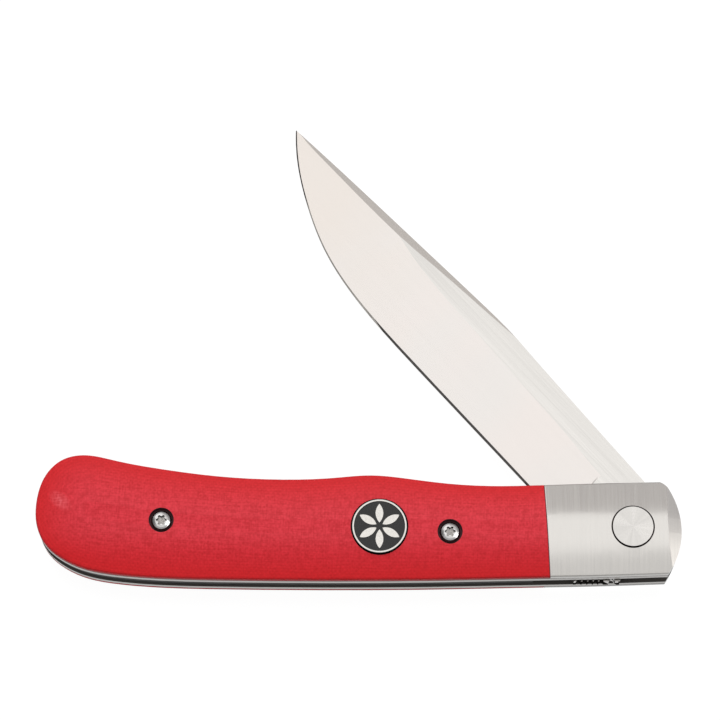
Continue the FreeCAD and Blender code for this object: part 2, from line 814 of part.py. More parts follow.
def blade_outline():
    closed, opened = stop_shoulders()
    tang = value("tang_radius")
    hook = value("hook_radius")
    root_angle = value("tab_root_angle")
    spine = spine_curve()
    belly = edge_points()
    drop = value("edge_drop")
    step = value("ricasso_step")
    heel = FreeCAD.Vector(value("heel_reach"), drop, 0)
    notch = FreeCAD.Vector(heel.x - step, drop - step, 0)
    foot = FreeCAD.Vector(value("tab_reach") * tab_foot_share, drop - step, 0)
    tip, root = tab_ends()
    hook_end = polar(root_angle, hook)
    throat = polar(closed, hook)
    points = [belly[-1], heel, notch, foot, tip, root, hook_end]
    edges = [line(a, b) for a, b in zip(points, points[1:])]
    edges.append(Part.Arc(hook_end, polar((root_angle + closed) / 2, hook), throat).toShape())
    edges.append(line(throat, polar(closed, tang)))
    back = Part.Arc(polar(closed, tang), polar((closed + opened) / 2, tang), polar(opened, tang))
    edges.append(back.toShape())
    edges.append(line(polar(opened, tang), spine.value(spine.FirstParameter)))
    edges.append(spine.toShape())
    edges.append(curve_through(belly).toShape())
    return wire_feature("blade_outline", edges)


def blade_cutter(name, side, stations):
    # Loft through polygons across the blade, each a list of places (y, height) at its own x;
    # the first leans back, as the plunge at the end of a grind does
    sections = []
    for number, (x, corners) in enumerate(stations):
        lean = plunge_lean_share if number == 0 else 0
        points = [FreeCAD.Vector(x - lean * height, y, side * height) for y, height in corners]
        sections.append(wire_feature(f"{name}_section_{number}", polygon(points)))
    thing = doc.addObject("Part::Loft", name)
    thing.Sections = sections
    thing.Solid = True
    return thing


def grind_cutter(side):
    # Above the primary grind and the edge bevel
    half = value("blade_thick / 2")
    reach = value("blade_reach")
    over = value("washer_thick + edge_room")
    ceiling = half * 2
    spine = spine_curve()
    belly = curve_through(edge_points())
    tip = tip_point()
    stations = []
    for across, thickness, bevel in grind_shares:
        x = reach * across
        bounded = min(x, tip.x)
        spine_y = height_at(spine, bounded)
        edge_y = value("edge_drop") if across <= straight_share else height_at(belly, bounded)
        inside = min(value("edge_width") * bevel, (edge_y - spine_y) / 2)
        slope = (half * thickness - value("edge_land / 2")) / max(edge_y - spine_y, over)
        stations.append((x, [
            (edge_y + over, value("edge_tip / 2")), (edge_y, value("edge_tip / 2")),
            (edge_y - inside, value("edge_land / 2")),
            (spine_y - over, value("edge_land / 2") + slope * (edge_y - inside - spine_y + over)),
            (spine_y - over, ceiling), (edge_y + over, ceiling),
        ]))
    return blade_cutter(f"grind_{side_name(side)}", side, stations)


def swedge_cutter(side):
    # Above the slope that thins the spine towards the tip
    half = value("blade_thick / 2")
    reach = value("blade_reach")
    over = value("washer_thick + edge_room")
    spine = spine_curve()
    tip = tip_point()
    stations = []
    for across, thickness in swedge_shares:
        x = reach * across
        spine_y = height_at(spine, min(x, tip.x))
        low = half * thickness - over * swedge_slope_share
        wide = (half * 2 - low) / swedge_slope_share
        back = spine_y - over
        stations.append((x, [(back, low), (back + wide, half * 2), (back, half * 2)]))
    return blade_cutter(f"swedge_{side_name(side)}", side, stations)


def tab_grooves():
    # Thumb grooves along the back of the flipper tab
    tip, root = tab_ends()
    grooves = []
    for number, (along, width) in enumerate(groove_shares):
        centre = tip + (root - tip) * along
        radius = f"groove_radius * {width}"
        groove = rod(f"groove_{number}", radius, "blade_thick * 2", "0", "0", "-blade_thick")
        groove.Placement.Base = FreeCAD.Vector(centre.x, centre.y, -value("blade_thick"))
        groove.setExpression(".Placement.Base.x", None)
        groove.setExpression(".Placement.Base.y", None)
        grooves.append(groove)
    return grooves


def detent_dimple():
    # Where the ball drops in when the blade is shut
    x, y = (value(words) for words in spot(ball_shares, "bolster_reach"))
    shut = FreeCAD.Rotation(FreeCAD.Vector(0, 0, 1), -value("closed_angle"))
    centre = shut.multVec(FreeCAD.Vector(x, y, 0))
    dimple = doc.addObject("Part::Sphere", "detent_dimple")
    bind(dimple, Radius="ball_radius")
    dimple.Placement.Base = FreeCAD.Vector(centre.x, centre.y, 0)
    dimple.setExpression(".Placement.Base.z", formula(f"-(blade_thick / 2 + ball_radius * {ball_proud_share})"))
    return dimple


def blade():
    plate = extrusion("blade_plate", blade_outline(), "-blade_thick / 2", "blade_thick")
    tools = [rod("blade_bore", "pivot_radius + run_clear", "blade_thick * 2", "0", "0", "-blade_thick")]
    tools += tab_grooves()
    tools.append(detent_dimple())
    body = cut("blade_blank", plate, tools)
    for side in (1, -1):
        body = cut(f"blade_ground_{side_name(side)}", body, [grind_cutter(side)])
        body = cut(f"blade_swedged_{side_name(side)}", body, [swedge_cutter(side)])
    turn = FreeCAD.Rotation(FreeCAD.Vector(0, 0, 1), value("rest_angle"))
    body.Placement = FreeCAD.Placement(FreeCAD.Vector(0, 0, 0), turn)
    place(body, z="land_face")
    keep(body, "blade")


def shut_edge():
    # The closed blade's edge, moved out by its room, from the tip to the front of the spacer
    points = edge_points()
    front = FreeCAD.Vector(value("spacer_front"), value("edge_drop"), 0)
    points += [(points[-1] + front) / 2, front]
    room = value("edge_room")
    moved = []
    for index, point in enumerate(points):
        before = points[max(index - 1, 0)]
        after = points[min(index + 1, len(points) - 1)]
        along = after - before
        out = FreeCAD.Vector(along.y, -along.x, 0).normalize()
        moved.append(point + out * room)
    shut = FreeCAD.Rotation(FreeCAD.Vector(0, 0, 1), value("closed_angle"))
    return [shut.multVec(point) for point in moved]


def spacer_rim():
    # Stretch of the handle outline along the back and round the butt, drawn in by the sink
    sink = value("spacer_sink")
    shares = [across for across, up in rim_shares]
    first = shares.index(spacer_first_share)
    last = shares.index(spacer_last_share)
    stretch = rim_points()[last:first + 1]
    drawn = []
    for point in stretch:
        inward = core_of(point) - point
        drawn.append(point + inward.normalize() * sink)
    return drawn


def backspacer():
    outer = spacer_rim()
    inner = shut_edge()
    edges = [
        curve_through(outer).toShape(), line(outer[-1], inner[-1]), curve_through(inner).toShape(),
        line(inner[0], outer[0]),
    ]
    outline = wire_feature("backspacer_outline", edges)
    strip = extrusion("backspacer_strip", outline, "land_face - half_gap", "half_gap * 2")
    tools = []
    for number, shares in enumerate(frame_screw_shares, start=1):
        x, y = spot(shares)
        tools.append(rod(f"backspacer_hole_{number}", "flat_shank_radius + fit_clear", "half_gap * 4", x, y,
                         "land_face - half_gap * 2"))
    keep(cut("backspacer", strip, tools), "backspacer")


def check():
    faults = [thing.Name for thing in doc.Objects if {"Invalid", "Error"} & set(thing.State)]
    for node in nodes:
        if node.Shape.isNull() or not node.Shape.isValid() or not node.Shape.Solids:
            faults.append(node.Label)
    if faults:
        raise RuntimeError("failed objects: " + ", ".join(faults))


def main():
    rim = ring_feature("rim", 1.0)
    nose = nose_cutter()
    for side in (1, -1):
        liner(side, rim, nose)
        covers(side, rim, nose)
    pivot()
    washers()
    stop_pin()
    detent_ball()
    dome_screws()
    flat_screws()
    badge()
    blade()
    backspacer()
    doc.recompute()
    check()
    os.makedirs("parts", exist_ok=True)
    for node in nodes:
        node.Shape.exportStep(f"parts/{node.Label}.step")
        print(node.Label, len(node.Shape.Solids), round(node.Shape.Volume, 2))


main()
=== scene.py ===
import math

import bpy
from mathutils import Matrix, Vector

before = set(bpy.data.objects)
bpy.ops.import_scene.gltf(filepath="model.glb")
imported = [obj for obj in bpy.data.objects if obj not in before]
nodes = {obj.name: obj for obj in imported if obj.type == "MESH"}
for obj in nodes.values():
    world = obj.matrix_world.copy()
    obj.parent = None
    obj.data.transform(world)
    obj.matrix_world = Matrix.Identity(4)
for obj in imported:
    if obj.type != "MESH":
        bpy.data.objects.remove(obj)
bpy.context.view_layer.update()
mm = 0.001
middlePlane = 5.48  # middle of the handle above the table, in millimetres like the sizes in the looks below
print("frame loaded:", len(nodes), "solids")


def inMetres(sizes):
    return tuple(size * mm for size in sizes)


def scaled(color, share):
    return tuple(channel * share for channel in color)


def emptyMaterial(name):
    mat = bpy.data.materials.new(name)
    mat.use_nodes = True
    tree = mat.node_tree
    tree.nodes.clear()
    return mat, tree, tree.nodes.new("ShaderNodeOutputMaterial")


def newFinish(name, roughness, metallic=0.0, color=(0.5, 0.5, 0.5)):
    mat, tree, output = emptyMaterial(name)
    shader = tree.nodes.new("ShaderNodeBsdfPrincipled")
    tree.links.new(shader.outputs["BSDF"], output.inputs["Surface"])
    shader.inputs["Base Color"].default_value = (*color, 1)
    shader.inputs["Roughness"].default_value = roughness
    shader.inputs["Metallic"].default_value = metallic
    return mat, tree, shader


def placeCoords(tree, scale, turn=0.0, move=(0, 0, 0)):
    # the solid's own coordinates, turned and moved, then stretched so that one unit is one repeat
    coord = tree.nodes.new("ShaderNodeTexCoord")
    mapping = tree.nodes.new("ShaderNodeMapping")
    mapping.inputs["Location"].default_value = move
    mapping.inputs["Rotation"].default_value = (0, 0, turn)
    stretch = tree.nodes.new("ShaderNodeVectorMath")
    stretch.operation = "MULTIPLY"
    stretch.inputs[1].default_value = scale
    tree.links.new(coord.outputs["Object"], mapping.inputs["Vector"])
    tree.links.new(mapping.outputs["Vector"], stretch.inputs[0])
    return stretch.outputs["Vector"]


def partsOf(tree, vector):
    parts = tree.nodes.new("ShaderNodeSeparateXYZ")
    tree.links.new(vector, parts.inputs[0])
    return parts.outputs


def placeOf(tree, move=(0, 0, 0), turn=0.0):
    # the solid's own X, Y and Z, in metres
    return partsOf(tree, placeCoords(tree, (1, 1, 1), turn, move))


def noiseOf(tree, vector, detail=2.0, rough=0.5, scale=1.0):
    noise = tree.nodes.new("ShaderNodeTexNoise")
    noise.inputs["Scale"].default_value = scale
    noise.inputs["Detail"].default_value = detail
    noise.inputs["Roughness"].default_value = rough
    tree.links.new(vector, noise.inputs["Vector"])
    return noise.outputs["Fac"]


def grainOf(tree, pitch, detail):
    # grain as fine in all directions
    return noiseOf(tree, placeCoords(tree, (pitch, pitch, pitch)), detail)


def tonesOf(tree, fac, first, second, span=(0, 1)):
    # a ramp from the first colour to the second
    ramp = tree.nodes.new("ShaderNodeValToRGB")
    for element, at, color in zip(ramp.color_ramp.elements, span, (first, second)):
        element.position = at
        element.color = (*color, 1)
    tree.links.new(fac, ramp.inputs["Fac"])
    return ramp.outputs["Color"]


def rangeOf(tree, fac, low, high, fromLow=0.0, fromHigh=1.0):
    span = tree.nodes.new("ShaderNodeMapRange")
    span.inputs["From Min"].default_value = fromLow
    span.inputs["From Max"].default_value = fromHigh
    span.inputs["To Min"].default_value = low
    span.inputs["To Max"].default_value = high
    tree.links.new(fac, span.inputs["Value"])
    return span.outputs["Result"]


def mathOf(tree, operation, first, second=None):
    node = tree.nodes.new("ShaderNodeMath")
    node.operation = operation
    for index, item in enumerate((first, second)):
        if item is None:
            continue
        if isinstance(item, (int, float)):
            node.inputs[index].default_value = item
        else:
            tree.links.new(item, node.inputs[index])
    return node.outputs["Value"]


def allOf(tree, first, *others):
    for other in others:
        first = mathOf(tree, "MULTIPLY", first, other)
    return first


def anyOf(tree, first, *others):
    for other in others:
        first = mathOf(tree, "MAXIMUM", first, other)
    return first


def notOf(tree, mask):
    return mathOf(tree, "SUBTRACT", 1.0, mask)


def blendOf(tree, first, second, share):
    kept = mathOf(tree, "MULTIPLY", first, 1 - share)
    return mathOf(tree, "ADD", kept, mathOf(tree, "MULTIPLY", second, share))


def waveOf(tree, value):
    return mathOf(tree, "SINE", mathOf(tree, "MULTIPLY", value, math.tau))


def aboveOf(tree, value, limit, soft):
    # 1 from the limit up, fading to 0 just below it
    return rangeOf(tree, value, 0, 1, limit - soft, limit)


def belowOf(tree, value, limit, soft):
    # 0 from the limit up, rising to 1 just below it
    return rangeOf(tree, value, 1, 0, limit - soft, limit)


def spanOf(tree, value, low, high, soft):
    # 1 between low and high, 0 outside, with soft edges
    return allOf(tree, aboveOf(tree, value, low, soft), belowOf(tree, value, high + soft, soft))


def mixColors(tree, fac, first, second, blend="MIX"):
    node = tree.nodes.new("ShaderNodeMix")
    node.data_type = "RGBA"
    node.blend_type = blend
    for socket, item in ((node.inputs["Factor"], fac), (node.inputs[6], first), (node.inputs[7], second)):
        if isinstance(item, (int, float)):
            socket.default_value = item
        elif isinstance(item, tuple):
            socket.default_value = (*item, 1)
        else:
            tree.links.new(item, socket)
    return node.outputs[2]


def roughFrom(tree, shader, grain, low, high, span=(0, 1)):
    tree.links.new(rangeOf(tree, grain, low, high, *span), shader.inputs["Roughness"])


def bumpOf(tree, shader, height, strength, depth):
    bump = tree.nodes.new("ShaderNodeBump")
    bump.inputs["Strength"].default_value = strength
    bump.inputs["Distance"].default_value = depth * mm
    tree.links.new(height, bump.inputs["Height"])
    tree.links.new(bump.outputs["Normal"], shader.inputs["Normal"])
    return bump


def dullOf(tree, shader, mask):
    # bare metal everywhere but under the mask, which has no mirror, so the dark colour there stays dark:
    # painted shade in most places, and the bolsters' dark joint line
    tree.links.new(notOf(tree, mask), shader.inputs["Metallic"])
    shader.inputs["Specular IOR Level"].default_value = 0.0


def facingOf(tree):
    # which way a face looks in the solid's own frame:
    # how squarely up or down (1 for flats, 0 for walls), then X and Y
    shape = tree.nodes.new("ShaderNodeNewGeometry")
    turn = tree.nodes.new("ShaderNodeVectorTransform")
    turn.vector_type = "NORMAL"
    turn.convert_from = "WORLD"
    turn.convert_to = "OBJECT"
    tree.links.new(shape.outputs["True Normal"], turn.inputs["Vector"])
    parts = partsOf(tree, turn.outputs["Vector"])
    return mathOf(tree, "ABSOLUTE", parts["Z"]), parts["X"], parts["Y"]


def liftOf(tree):
    # distance from the handle's middle plane, to either side
    return mathOf(tree, "ABSOLUTE", placeOf(tree, move=(0, 0, -middlePlane * mm))["Z"])


def lengthOf(tree, vector):
    length = tree.nodes.new("ShaderNodeVectorMath")
    length.operation = "LENGTH"
    tree.links.new(vector, length.inputs[0])
    return length.outputs["Value"]


def aroundAxis(tree, centre):
    # flat vector from an upright axis, and its length
    place = placeCoords(tree, (1, 1, 0), move=(-centre[0], -centre[1], 0))
    return place, lengthOf(tree, place)


holeEdge = (0.01, 0.03)  # a hole's colour fades out this far past its wall


def withinAxis(tree, centre, reach):
    # 1 inside a hole of this reach, 0 on the faces round it
    away = aroundAxis(tree, centre)[1]
    return rangeOf(tree, away, 1, 0, *inMetres(reach + past for past in holeEdge))


def middleOf(name):
    corners = [Vector(corner) for corner in nodes[name].bound_box]
    low = Vector([min(corner[axis] for corner in corners) for axis in range(3)])
    high = Vector([max(corner[axis] for corner in corners) for axis in range(3)])
    return (low + high) / 2, low, high


def wearFinish(names, mat):
    for name in names:
        slots = nodes[name].data.materials
        slots.clear()
        slots.append(mat)


# red scales: pressed layers of woven glass, milled to a crown so the layers show as contour lines
scaleLook = {
    "edge": (0.635, 0.017, 0.022), "crown": (0.66, 0.033, 0.047), "rise": (4.45, 5.45),
    "deepen": (0.86, 0.74, 0.74), "lighten": (1.12, 1.3, 1.3), "fleckSpan": (-0.5, 0.5),
    "weavePitch": 0.75, "weaveTurn": 0.12, "weaveShare": 0.3, "blotch": 400,
    "layerPitch": 0.11, "layerDrift": (120, 220, 120), "driftShare": 1.6, "layerShare": 0.1,
    "thread": (700, 4200), "threadTurn": 0.05, "speck": 1500, "speckShare": 0.8,
    "threadMean": 1.4, "mottle": (0.7, 1.6),
    "back": (0.97, 0.64, 0.72), "backFrom": (-4.5, -1.0),
    "buttGlint": (0.78, 0.12, 0.14), "buttGlintAt": (-93.0, 4.4), "buttGlintSize": (2.5, 1.35), "buttGlintTurn": 43,
    "buttGlintFade": (0.15, 1.0), "buttGlintShare": (0.2, 0.85), "buttGlintThreads": (1.15, 1.65),
    "badgeHoleShade": (0.022, 0.005, 0.006), "badgeReach": 4.66,
    "screwHoleShade": (0.085, 0.03, 0.033), "screwReach": 2.02,
    "roughness": 0.48, "smoother": 0.08, "rougher": 0.1, "grain": 5200, "gloss": 0.2,
    "bump": 0.12, "bumpDepth": 0.08,
}


def redWeave(name, holes):
    look = scaleLook
    mat, tree, shader = newFinish(name, look["roughness"])
    # checks of the cloth, in patches
    cells = partsOf(tree, placeCoords(tree, (1 / (look["weavePitch"] * mm),) * 3, look["weaveTurn"]))
    blotch = noiseOf(tree, placeCoords(tree, (look["blotch"],) * 3), detail=3, rough=0.6)
    checks = allOf(tree, waveOf(tree, cells["X"]), waveOf(tree, cells["Y"]), blotch)
    # contour lines of the layers
    layers = partsOf(tree, placeCoords(tree, (1, 1, 1 / (look["layerPitch"] * mm))))["Z"]
    drift = noiseOf(tree, placeCoords(tree, look["layerDrift"]))
    rings = waveOf(tree, mathOf(tree, "ADD", layers, mathOf(tree, "MULTIPLY", drift, look["driftShare"])))
    # single threads, plainest on the crown
    rise = rangeOf(tree, liftOf(tree), 0, 1, *inMetres(look["rise"]))
    long, fine = look["thread"]
    warps = noiseOf(tree, placeCoords(tree, (long, fine, long), look["threadTurn"]), detail=1)
    wefts = noiseOf(tree, placeCoords(tree, (fine, long, long), look["threadTurn"]), detail=1)
    specks = mathOf(tree, "MULTIPLY", grainOf(tree, look["speck"], detail=1.5), look["speckShare"])
    threads = mathOf(tree, "ADD", mathOf(tree, "ADD", warps, wefts), specks)
    mottle = allOf(tree, mathOf(tree, "SUBTRACT", threads, look["threadMean"]),
                   rangeOf(tree, rise, *look["mottle"]))
    fleck = mathOf(tree, "ADD", mathOf(tree, "MULTIPLY", checks, look["weaveShare"]),
                   mathOf(tree, "MULTIPLY", rings, look["layerShare"]))
    fleck = mathOf(tree, "ADD", fleck, mottle)
    shade = rangeOf(tree, fleck, 0, 1, *look["fleckSpan"])
    # painted sheen: the red is paler and pinker on the crown than at the edges
    color = mixColors(tree, rise, look["edge"], look["crown"])
    color = mixColors(tree, 1.0, color, tonesOf(tree, shade, look["deepen"], look["lighten"]), "MULTIPLY")
    # painted shade: deeper red along the -Y side, away from the overhead lamp
    toShadedSide = rangeOf(tree, placeOf(tree)["Y"], 1, 0, *inMetres(look["backFrom"]))
    color = mixColors(tree, toShadedSide, color, look["back"], "MULTIPLY")
    # painted highlight: a paler patch on the butt, broken up by the threads
    turn = math.radians(look["buttGlintTurn"])
    east, north = inMetres(look["buttGlintAt"])
    shift = (north * math.sin(turn) - east * math.cos(turn),
             -(east * math.sin(turn) + north * math.cos(turn)), 0)
    stretch = (*(1 / size for size in inMetres(look["buttGlintSize"])), 0)
    away = lengthOf(tree, placeCoords(tree, stretch, turn, shift))
    buttGlint = allOf(tree, rangeOf(tree, away, 1, 0, *look["buttGlintFade"]),
                rangeOf(tree, threads, *look["buttGlintShare"], *look["buttGlintThreads"]))
    color = mixColors(tree, buttGlint, color, look["buttGlint"])
    # painted shade: the counterbores round the screws and the badge darkened
    for solid, reach, tone in holes:
        color = mixColors(tree, withinAxis(tree, middleOf(solid)[0], reach), color, tone)
    tree.links.new(color, shader.inputs["Base Color"])
    roughFrom(tree, shader, grainOf(tree, look["grain"], detail=2),
              look["roughness"] - look["smoother"], look["roughness"] + look["rougher"])
    bumpOf(tree, shader, fleck, look["bump"], look["bumpDepth"])
    shader.inputs["Specular IOR Level"].default_value = look["gloss"]
    return mat


# brushed steel of bolsters, liners and blade: fine lines with broader, longer ones among them
brushLook = {"broader": 7, "longer": 2, "span": (0.3, 0.7), "bump": 0.05, "bumpDepth": 0.01}


def brushedSteel(name, look, turn=0.0):
    mat, tree, shader = newFinish(name, look["roughness"], 1.0, look["color"])
    fine, along = look["fine"], look["along"]
    lines = noiseOf(tree, placeCoords(tree, (fine, along, along), turn), detail=3, rough=0.6)
    broad = placeCoords(tree, (fine / brushLook["broader"], along / brushLook["longer"], along), turn)
    grain = blendOf(tree, lines, noiseOf(tree, broad), look["broad"])
    dark, light = (scaled(look["color"], 1 + change) for change in (-look["spread"], look["spread"]))
    roughFrom(tree, shader, grain, look["roughness"] - look["drift"], look["roughness"] + look["drift"],
              brushLook["span"])
    bumpOf(tree, shader, grain, brushLook["bump"], brushLook["bumpDepth"])
    return mat, tree, shader, tonesOf(tree, grain, dark, light, brushLook["span"]), grain


# bolsters: steel brushed across the handle, with plain walls darkened as painted shade, the rear ones most,
# and painted shade in the bore round the pivot
bolsterLook = {
    "color": (0.785, 0.757, 0.72), "roughness": 0.2, "drift": 0.03,
    "fine": 5600, "along": 90, "spread": 0.038, "broad": 0.2,
    "frontWall": (0.37, 0.36, 0.345), "rearWall": (0.1, 0.096, 0.092), "flatFrom": (0.86, 0.92),
    "bore": (0.05, 0.036, 0.034), "boreReach": 3.5,
    "facetFrom": (0.1, 0.2), "facetUp": (0.2, 0.3), "facetRough": 0.36,
    "facetShade": (0.82, 0.82, 0.83), "facetLight": (1.13, 1.13, 1.125), "facetSpan": (-3.5, 2.5),
    "rim": (0.74, 0.87), "rimSoft": 0.02, "rimOutward": (0.35, 0.45), "rimLine": (0.12, 0.11, 0.104),
    "frontJoint": 13.9, "rearJoint": 14.5, "jointLean": 2.8,
    "jointLine": (0.24, 0.085, 0.095), "lineWidth": (0.05, 0.11), "lipWidth": 0.16, "lipDrop": 0.034,
}


def bolsterSteel(side):
    look = bolsterLook
    joint = look[f"{side}Joint"]
    mat, tree, shader, color = brushedSteel(f"{side} bolster steel", look)[:4]
    upright, across, outward = facingOf(tree)
    nose = rangeOf(tree, across, 0, 1, *look["facetFrom"])
    facet = allOf(tree, nose, rangeOf(tree, upright, 0, 1, *look["facetUp"]))
    flat = anyOf(tree, facet, rangeOf(tree, upright, 0, 1, *look["flatFrom"]))
    # painted light and shade on the nose facet: lighter towards -Y, darker towards +Y
    shade = rangeOf(tree, placeOf(tree)["Y"], 0, 1, *inMetres(look["facetSpan"]))
    tint = mixColors(tree, shade, look["facetLight"], look["facetShade"])
    color = mixColors(tree, facet, color, tint, "MULTIPLY")
    # painted shade: walls darker than the crown, the rear walls darker still
    color = mixColors(tree, flat, look[f"{side}Wall"], color)
    # painted shade: a dark line where the crown turns down to the wall
    rim = allOf(tree, spanOf(tree, upright, *look["rim"], look["rimSoft"]),
                rangeOf(tree, mathOf(tree, "ABSOLUTE", outward), 0, 1, *look["rimOutward"]),
                notOf(tree, nose))
    color = mixColors(tree, rim, color, look["rimLine"])
    # dark line at the joint with the scale
    along = placeOf(tree, turn=-math.radians(look["jointLean"]))["X"]
    line = rangeOf(tree, along, 1, 0, *inMetres(width - joint for width in look["lineWidth"]))
    color = mixColors(tree, line, color, look["jointLine"])
    dullOf(tree, shader, anyOf(tree, rim, line))
    # painted shade: the bore round the pivot darkened
    color = mixColors(tree, withinAxis(tree, (0, 0), look["boreReach"]), color, look["bore"])
    tree.links.new(color, shader.inputs["Base Color"])
    rough = shader.inputs["Roughness"].links[0].from_socket
    blunt = mathOf(tree, "MULTIPLY", facet, look["facetRough"] - look["roughness"])
    tree.links.new(mathOf(tree, "ADD", rough, blunt), shader.inputs["Roughness"])
    # broken edge along that joint
    lip = rangeOf(tree, along, 0, 1, *inMetres((-joint, look["lipWidth"] - joint)))
    brushed = shader.inputs["Normal"].links[0].from_socket
    broken = bumpOf(tree, shader, lip, 1.0, look["lipDrop"])
    tree.links.new(brushed, broken.inputs["Normal"])
    return mat


# liners: bright edges, with the inner corners and the faces darkened as painted shade
linerLook = {
    "color": (0.33, 0.317, 0.302), "roughness": 0.35, "drift": 0.06,
    "fine": 6000, "along": 300, "spread": 0.1, "broad": 0.4,
    "face": (0.13, 0.12, 0.112), "faceFrom": (0.5, 0.7),
    "corner": (0.035, 0.033, 0.032), "cornerReach": (1.66, 1.74),
}


def linerSteel():
    look = linerLook
    mat, tree, shader, color = brushedSteel("liner steel", look)[:4]
    face = rangeOf(tree, facingOf(tree)[0], 0, 1, *look["faceFrom"])
    corner = rangeOf(tree, liftOf(tree), 1, 0, *inMetres(look["cornerReach"]))
    # painted shade: the inner corners beside the blade slot darkened
    color = mixColors(tree, corner, color, look["corner"])
    # painted shade: the flat faces darkened
    tree.links.new(mixColors(tree, face, color, look["face"]), shader.inputs["Base Color"])
    dullOf(tree, shader, anyOf(tree, face, corner))
    return mat


# blade: satin flats brushed along it, a finer warm grind, a swedge, a coarse edge bevel and a tab edge
# darkened as painted shade with painted highlights
bladeLook = {
    "color": (0.826, 0.8, 0.763), "roughness": 0.2, "drift": 0.04, "turn": -132,
    "fine": 5200, "along": 45, "spread": 0.1, "broad": 0.5,
    "flatFrom": (0.9972, 0.9986), "grindFrom": (0.945, 0.96), "bevelFrom": (0.885, 0.9),
    "wallBelow": (0.3, 0.5),
    "grind": (0.892, 0.832, 0.794), "grindCool": (0.868, 0.832, 0.8),
    "patch": (70, 28, 10), "patchSpan": (0.35, 0.65),
    "grindTip": (0.872, 0.808, 0.753), "tipFrom": (50, 78), "cloud": (110, 110, 10), "cloudDrift": 30,
    "grindLine": (0.7, 0.66, 0.63), "lineShare": 0.05,
    "swedge": (0.97, 0.925, 0.865), "bevel": (0.1, 0.094, 0.09),
    "plunge": (0.5, 0.475, 0.46), "plungeLean": 37.9, "plungeLine": (-9.98, -9.82), "plungeSoft": 0.05,
    "plungeEnd": (8.4, 9.4),
    "arcCentre": (-13.47, 69.456), "arcReach": 41.695, "arcWidth": 0.21, "arcSoft": 0.02,
    "arcFrom": (55.5, 58.5),
    "tang": (0.03, 0.027, 0.025), "tangReach": 13.5, "tangBelow": -4.5, "litTab": (0.36, 0.345, 0.33),
    "tabReach": 12.55, "tabSoft": 0.1, "toothDepth": 0.2, "toothLight": 0.3, "legFrom": -4.95,
    "stroke": (-3.6, -0.556, 0.42), "corner": (-2.65, 0.35),
}


def bladeSteel():
    look = bladeLook
    turn = math.radians(look["turn"])
    mat, tree, shader, color, grain = brushedSteel("blade steel", look, turn + math.pi / 2)
    upright = facingOf(tree)[0]
    place = placeOf(tree, move=(0, 0, -middlePlane * mm))
    # grind in warm and cool patches, warmer towards the tip, with faint lines
    cloud = noiseOf(tree, placeCoords(tree, look["cloud"]), detail=1)
    drift = look["cloudDrift"] * mm
    toTip = mathOf(tree, "ADD", placeOf(tree, turn=turn)["X"], mathOf(tree, "MULTIPLY", cloud, drift))
    toTip = rangeOf(tree, toTip, 0, 1, *(part + drift / 2 for part in inMetres(look["tipFrom"])))
    patch = noiseOf(tree, placeCoords(tree, look["patch"], turn), detail=1)
    warm = mixColors(tree, rangeOf(tree, patch, 0, 1, *look["patchSpan"]), look["grindCool"], look["grind"])
    warm = mixColors(tree, toTip, warm, look["grindTip"])
    lines = rangeOf(tree, grain, 0, look["lineShare"], *brushLook["span"])
    warm = mixColors(tree, lines, warm, look["grindLine"])
    # plunge line at the heel, a grey line of painted shade
    step = spanOf(tree, placeOf(tree, turn=math.radians(look["plungeLean"]))["X"],
                  *inMetres((*look["plungeLine"], look["plungeSoft"])))
    step = allOf(tree, step, rangeOf(tree, place["Y"], 1, 0, *inMetres(look["plungeEnd"])))
    # each face of the blade has its own slope
    color = mixColors(tree, rangeOf(tree, upright, 1, 0, *look["flatFrom"]), color, warm)
    color = mixColors(tree, step, color, look["plunge"])
    color = mixColors(tree, rangeOf(tree, upright, 1, 0, *look["grindFrom"]), color, look["bevel"])
    color = mixColors(tree, rangeOf(tree, upright, 1, 0, *look["bevelFrom"]), color, look["swedge"])
    wall = rangeOf(tree, upright, 1, 0, *look["wallBelow"])
    color = mixColors(tree, wall, color, look["color"])
    # the edge bevel runs on round the tip, along an arc
    away = aroundAxis(tree, inMetres(look["arcCentre"]))[1]
    inner = (look["arcReach"] - look["arcWidth"]) * mm
    tipEdge = allOf(tree, aboveOf(tree, away, inner, look["arcSoft"] * mm),
                    rangeOf(tree, place["Y"], 0, 1, *inMetres(look["arcFrom"])))
    color = mixColors(tree, tipEdge, color, look["bevel"])
    # tab in the back: painted shade on its walls, with painted highlights on the teeth's upper part, a corner
    # and a slanting stroke
    soft = look["tabSoft"] * mm
    tang = allOf(tree, wall, withinAxis(tree, (0, 0), look["tangReach"]),
                 belowOf(tree, place["Y"], look["tangBelow"] * mm, soft))
    reach = aroundAxis(tree, (0, 0))[1]
    tooth = allOf(tree, aboveOf(tree, reach, (look["tabReach"] - look["toothDepth"]) * mm, soft),
                  belowOf(tree, place["X"], look["legFrom"] * mm, soft))
    upper = aboveOf(tree, place["Z"], look["toothLight"] * mm, soft)
    at, half = inMetres(look["corner"])
    corner = spanOf(tree, place["X"], at - half, at + half, soft)
    start, slope, width = look["stroke"]
    lean = mathOf(tree, "SUBTRACT", place["X"], mathOf(tree, "MULTIPLY", place["Z"], slope))
    stroke = spanOf(tree, lean, (start - width) * mm, (start + width) * mm, soft)
    lit = anyOf(tree, stroke, allOf(tree, upper, anyOf(tree, tooth, corner)))
    color = mixColors(tree, tang, color, look["litTab"])
    dark = allOf(tree, tang, notOf(tree, lit))
    color = mixColors(tree, dark, color, look["tang"])
    tree.links.new(color, shader.inputs["Base Color"])
    dullOf(tree, shader, dark)
    return mat


# pivot: a turned disc, its rings with soft sectors of painted sheen, and walls darkened as painted shade
pivotLook = {
    "color": (0.782, 0.757, 0.724), "spread": 0.13, "span": (0.3, 0.7),
    "wall": (0.03, 0.027, 0.025), "wallBelow": (0.3, 0.5),
    "sectors": 1.6, "rings": 9000, "ringShare": 0.3,
    "roughness": 0.24, "smoother": 0.05, "rougher": 0.07, "bump": 0.06, "bumpDepth": 0.01,
}


